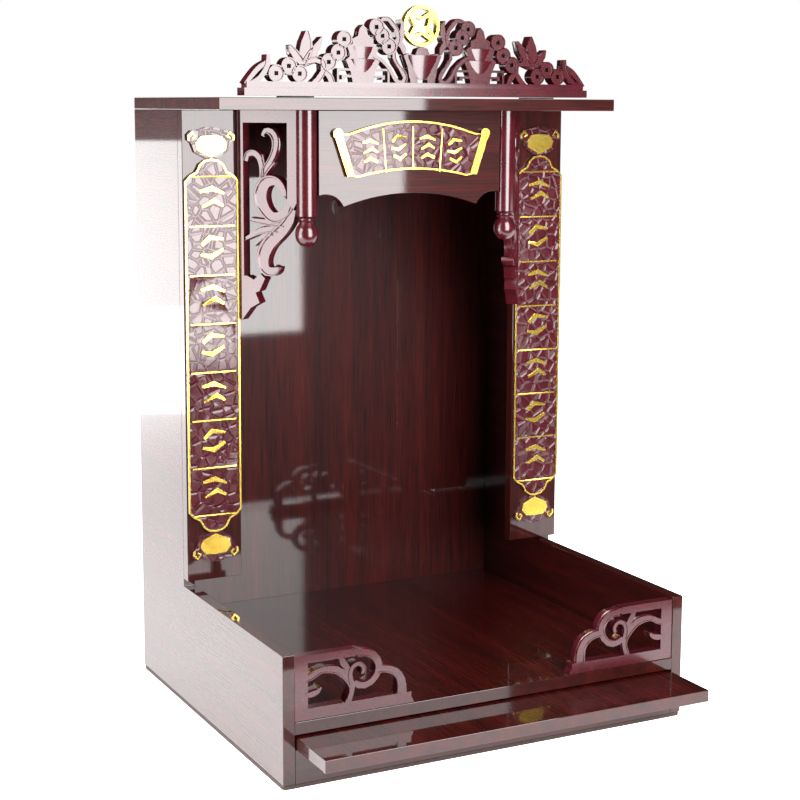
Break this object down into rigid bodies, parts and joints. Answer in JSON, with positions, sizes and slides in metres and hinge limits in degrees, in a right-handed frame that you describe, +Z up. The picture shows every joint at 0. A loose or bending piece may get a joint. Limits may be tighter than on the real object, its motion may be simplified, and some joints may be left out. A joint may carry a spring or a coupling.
{
  "type": "household altar cabinet",
  "caption": "Open-fronted altar cabinet in red rosewood laminate with gilt-lined plaques, hanging columns, openwork brackets, a crest with a coin and a pull-out shelf.",
  "frame": {"origin": "centre of the underside, under the middle of the case", "axes": "+X to the right seen from the front, +Y to the back, +Z up; the open front faces -Y"},
  "size_m": [0.48, 0.494, 0.7794],
  "materials": {
    "laminate": "high-gloss lacquered rosewood laminate on board",
    "moulding": "semi-gloss maroon moulding",
    "gilt": "bright gold paint",
    "pad": "dark foam",
    "bare_board": "plain stained board"
  },
  "bodies": {
    "case": {"bottom_panel": "bare_board", "side_panel_left": "laminate", "side_panel_right": "laminate", "back_panel": "laminate", "floor_board": "laminate", "front_rail": "laminate", "top_board": "laminate", "shelf_runner_left": "bare_board", "shelf_runner_right": "bare_board", "pilaster_left": "laminate", "pilaster_right": "laminate", "corner_bracket_left": "moulding", "corner_bracket_right": "moulding", "fascia_board": "laminate", "fret_left": "moulding", "fret_right": "moulding", "plaque_left": "moulding", "plaque_right": "moulding", "fan_plaque": "moulding", "crest": "moulding", "crest_coin": "gilt", "crest_pad_left": "pad", "crest_pad_right": "pad"},
    "shelf": {"pull_out_shelf": "laminate"}
  },
  "joints": [
    {"name": "shelf_slide", "type": "slide", "parent": "case", "child": "shelf", "axis": [0, -1, 0], "range_m": [-0.07, 0.13]}
  ]
}
